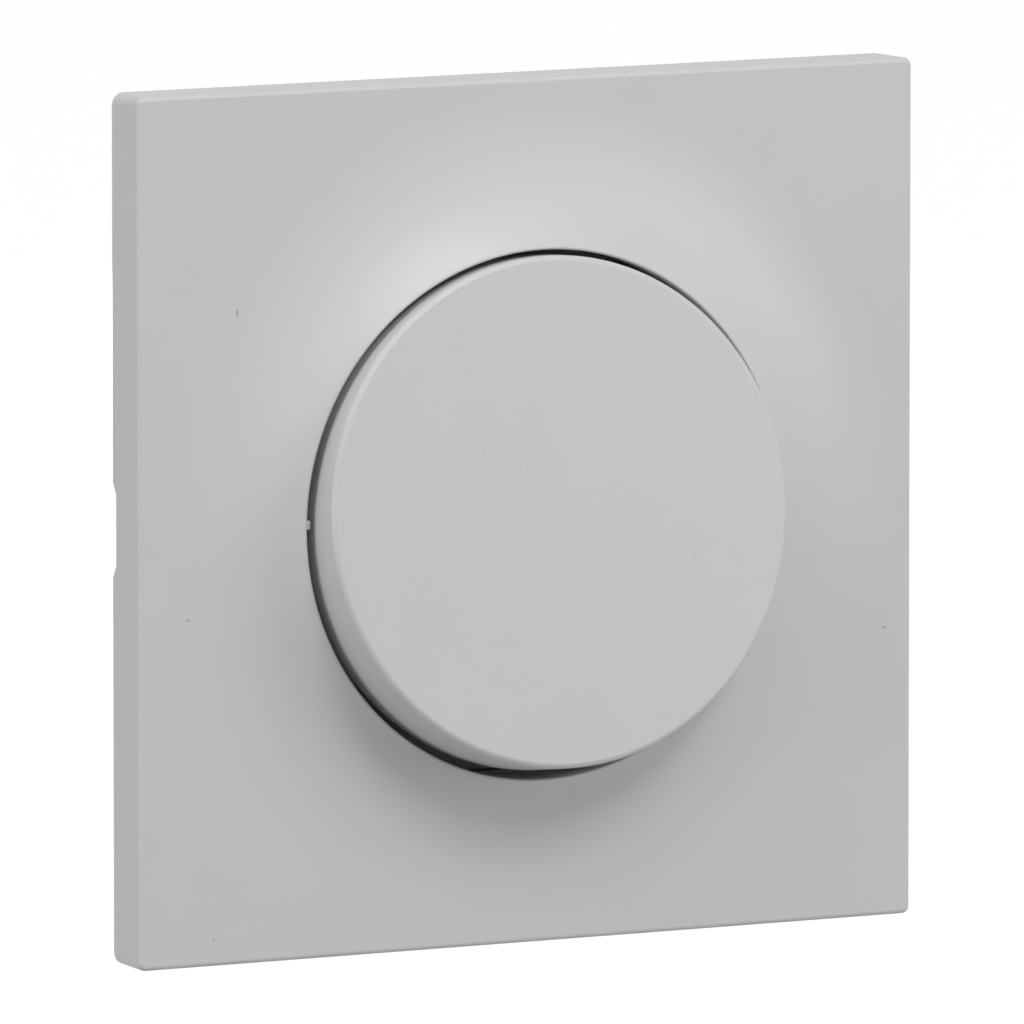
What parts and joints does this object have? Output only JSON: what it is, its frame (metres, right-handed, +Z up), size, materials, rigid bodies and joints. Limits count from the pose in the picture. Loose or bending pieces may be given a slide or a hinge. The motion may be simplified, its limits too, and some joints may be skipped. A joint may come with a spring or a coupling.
{
  "type": "two-way light switch",
  "caption": "Flush two-way light switch: square cover plate swelling to a round rim, round tilting rocker, support frame and changeover mechanism with push-in terminals.",
  "frame": {"origin": "middle of the switch on the wall's surface", "axes": "+Y into the wall, -Y into the room, +Z up, +X to the right as seen from the room"},
  "size_m": [0.08, 0.0365, 0.08],
  "materials": {
    "white_plate": "white moulded, fine satin",
    "white_rocker": "white moulded, fine satin",
    "frame_plastic": "grey glass filled, matt",
    "housing_plastic": "pale grey, matt",
    "cradle_plastic": "natural white, matt",
    "plunger_plastic": "natural acetal, smooth",
    "release_plastic": "orange, satin",
    "brass_strip": "rolled and stamped",
    "contact_silver": "silver alloy, matt",
    "spring_steel": "bright spring steel"
  },
  "bodies": {
    "mechanism": {"cover_plate": "white_plate", "support_frame": "frame_plastic", "switch_housing": "housing_plastic", "housing_cover": "housing_plastic", "upper_terminal": "brass_strip", "lower_terminal": "brass_strip", "common_terminal": "brass_strip", "upper_contact_tip": "contact_silver", "lower_contact_tip": "contact_silver", "upper_clamp_spring": "spring_steel", "lower_clamp_spring": "spring_steel", "common_clamp_spring": "spring_steel"},
    "rocker": {"rocker_button": "white_rocker", "rocker_cradle": "cradle_plastic", "plunger_spring": "spring_steel"},
    "plunger": {"plunger": "plunger_plastic"},
    "rocking_contact": {"rocking_contact": "brass_strip", "moving_contact_tips": "contact_silver"},
    "upper_release": {"upper_release_button": "release_plastic"},
    "lower_release": {"lower_release_button": "release_plastic"},
    "common_release": {"common_release_button": "release_plastic"}
  },
  "joints": [
    {"name": "rocker_tilt", "type": "hinge", "parent": "mechanism", "child": "rocker", "pos_m": [0, -0.00561, 0], "axis": [1, 0, 0], "range_deg": [0, 11.8]},
    {"name": "contact_tilt", "type": "hinge", "parent": "mechanism", "child": "rocking_contact", "pos_m": [0, 0.0083, 0], "axis": [1, 0, 0], "range_deg": [-14.16, 0]},
    {"name": "plunger_slide", "type": "slide", "parent": "rocker", "child": "plunger", "axis": [0, -0.9947, 0.1028], "range_m": [0, 0.0006], "stiffness_N_per_m": 100, "springref_m": -0.004, "deforming": ["plunger_spring"]},
    {"name": "upper_release_slide", "type": "slide", "parent": "mechanism", "child": "upper_release", "axis": [0, -1, 0], "range_m": [0, 0.001], "stiffness_N_per_m": 200, "springref_m": -0.001, "deforming": ["upper_clamp_spring"]},
    {"name": "lower_release_slide", "type": "slide", "parent": "mechanism", "child": "lower_release", "axis": [0, -1, 0], "range_m": [0, 0.001], "stiffness_N_per_m": 200, "springref_m": -0.001, "deforming": ["lower_clamp_spring"]},
    {"name": "common_release_slide", "type": "slide", "parent": "mechanism", "child": "common_release", "axis": [0, -1, 0], "range_m": [0, 0.001], "stiffness_N_per_m": 200, "springref_m": -0.001, "deforming": ["common_clamp_spring"]}
  ],
  "couplings": [
    {"joint": "contact_tilt", "follows": "rocker_tilt", "ratio": -1.2}
  ]
}
